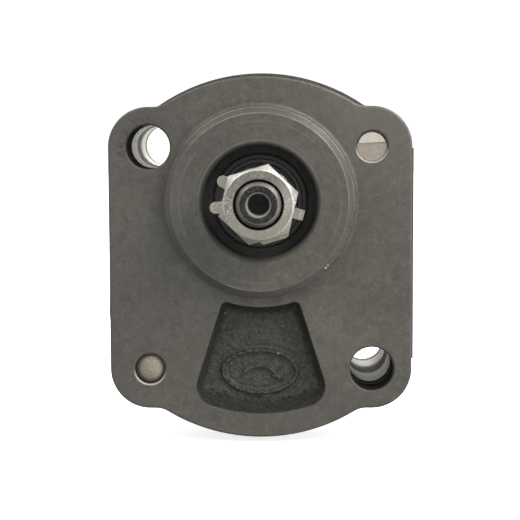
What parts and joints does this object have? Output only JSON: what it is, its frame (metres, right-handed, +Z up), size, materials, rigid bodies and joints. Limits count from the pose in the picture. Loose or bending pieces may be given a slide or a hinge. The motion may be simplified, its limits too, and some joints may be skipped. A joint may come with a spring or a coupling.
{
  "type": "hydraulic vane pump",
  "caption": "Flange-mounted hydraulic vane pump with cast-iron front cover, aluminium housing, tapered drive shaft with nut, and side inlet and outlet ports.",
  "frame": {"origin": "on the shaft axis, in the plane of the mounting face", "axes": "-Y along the shaft towards its driven end, +Z up with the shaft above the flange's centre, +X towards the port face"},
  "size_m": [0.1281, 0.1265, 0.1488],
  "materials": {
    "iron": "machined and oiled cast iron, dark grey",
    "alloy": "as-cast with machined faces",
    "plated_steel": "zinc plated",
    "black_steel": "black oxide",
    "ground_steel": "ground",
    "seal_rubber": "matte nitrile rubber",
    "cage_brass": "machined",
    "shaft_steel": "ground and oiled",
    "nut_steel": "bright zinc plated",
    "bush_bronze": "sintered bronze",
    "plate_bronze": "bronze-faced"
  },
  "bodies": {
    "housing": {"front_cover": "iron", "bearing_plate": "alloy", "pump_body": "alloy", "rear_cover": "alloy", "bolt_washers": "plated_steel", "long_bolts": "black_steel", "cap_screws": "black_steel", "housing_dowels": "ground_steel", "cover_oring": "seal_rubber", "body_orings": "seal_rubber", "end_plug": "plated_steel", "gallery_plugs": "plated_steel", "shaft_seal": "seal_rubber", "seal_spring": "ground_steel", "bearing_outer": "ground_steel", "rear_bush": "bush_bronze", "cam_ring": "ground_steel", "front_port_plate": "plate_bronze", "rear_port_plate": "plate_bronze", "cartridge_dowels": "ground_steel", "plate_orings": "seal_rubber", "plate_spring": "ground_steel", "valve_plug": "plated_steel", "plug_oring": "seal_rubber", "flow_spring": "ground_steel", "discharge_orifice": "plated_steel"},
    "rotating_group": {"drive_shaft": "shaft_steel", "shaft_key": "shaft_steel", "shaft_nut": "nut_steel", "lock_washer": "nut_steel", "bearing_inner": "ground_steel", "shaft_circlip": "black_steel", "rotor": "ground_steel", "rotor_circlip": "black_steel"},
    "ball_set": {"bearing_balls": "ground_steel", "bearing_cage": "cage_brass"},
    "spool": {"flow_spool": "ground_steel", "relief_seat": "ground_steel", "relief_spring": "ground_steel"},
    "poppet": {"relief_poppet": "ground_steel"},
    "vane_01": {"vane_01": "ground_steel"},
    "vane_02": {"vane_02": "ground_steel"},
    "vane_03": {"vane_03": "ground_steel"},
    "vane_04": {"vane_04": "ground_steel"},
    "vane_05": {"vane_05": "ground_steel"},
    "vane_06": {"vane_06": "ground_steel"},
    "vane_07": {"vane_07": "ground_steel"},
    "vane_08": {"vane_08": "ground_steel"},
    "vane_09": {"vane_09": "ground_steel"},
    "vane_10": {"vane_10": "ground_steel"}
  },
  "joints": [
    {"name": "shaft_spin", "type": "hinge", "parent": "housing", "child": "rotating_group", "pos_m": [0, 0, 0], "axis": [0, -1, 0], "continuous": true},
    {"name": "ball_set_spin", "type": "hinge", "parent": "housing", "child": "ball_set", "pos_m": [0, 0, 0], "axis": [0, -1, 0], "continuous": true},
    {"name": "vane_01_slide", "type": "slide", "parent": "rotating_group", "child": "vane_01", "axis": [0.9511, 0, 0.309], "range_m": [-0.0003, 0.00043]},
    {"name": "vane_02_slide", "type": "slide", "parent": "rotating_group", "child": "vane_02", "axis": [0.5878, 0, 0.809], "range_m": [-0.0003, 0.00253]},
    {"name": "vane_03_slide", "type": "slide", "parent": "rotating_group", "child": "vane_03", "axis": [0, 0, 1], "range_m": [-0.0003, 0.00328]},
    {"name": "vane_04_slide", "type": "slide", "parent": "rotating_group", "child": "vane_04", "axis": [-0.5878, 0, 0.809], "range_m": [-0.0003, 0.00253]},
    {"name": "vane_05_slide", "type": "slide", "parent": "rotating_group", "child": "vane_05", "axis": [-0.9511, 0, 0.309], "range_m": [-0.0003, 0.00043]},
    {"name": "vane_06_slide", "type": "slide", "parent": "rotating_group", "child": "vane_06", "axis": [-0.9511, 0, -0.309], "range_m": [-0.0003, 0.00043]},
    {"name": "vane_07_slide", "type": "slide", "parent": "rotating_group", "child": "vane_07", "axis": [-0.5878, 0, -0.809], "range_m": [-0.0003, 0.00253]},
    {"name": "vane_08_slide", "type": "slide", "parent": "rotating_group", "child": "vane_08", "axis": [0, 0, -1], "range_m": [-0.0003, 0.00328]},
    {"name": "vane_09_slide", "type": "slide", "parent": "rotating_group", "child": "vane_09", "axis": [0.5878, 0, -0.809], "range_m": [-0.0003, 0.00253]},
    {"name": "vane_10_slide", "type": "slide", "parent": "rotating_group", "child": "vane_10", "axis": [0.9511, 0, -0.309], "range_m": [-0.0003, 0.00043]},
    {"name": "spool_slide", "type": "slide", "parent": "housing", "child": "spool", "axis": [-1, 0, 0], "range_m": [0, 0.01], "stiffness_N_per_m": 900, "springref_m": -0.004, "deforming": ["flow_spring"]},
    {"name": "poppet_slide", "type": "slide", "parent": "spool", "child": "poppet", "axis": [1, 0, 0], "range_m": [0, 0.002], "stiffness_N_per_m": 2500, "springref_m": -0.002, "deforming": ["relief_spring"]}
  ],
  "couplings": [
    {"joint": "ball_set_spin", "follows": "shaft_spin", "ratio": 0.3982}
  ]
}
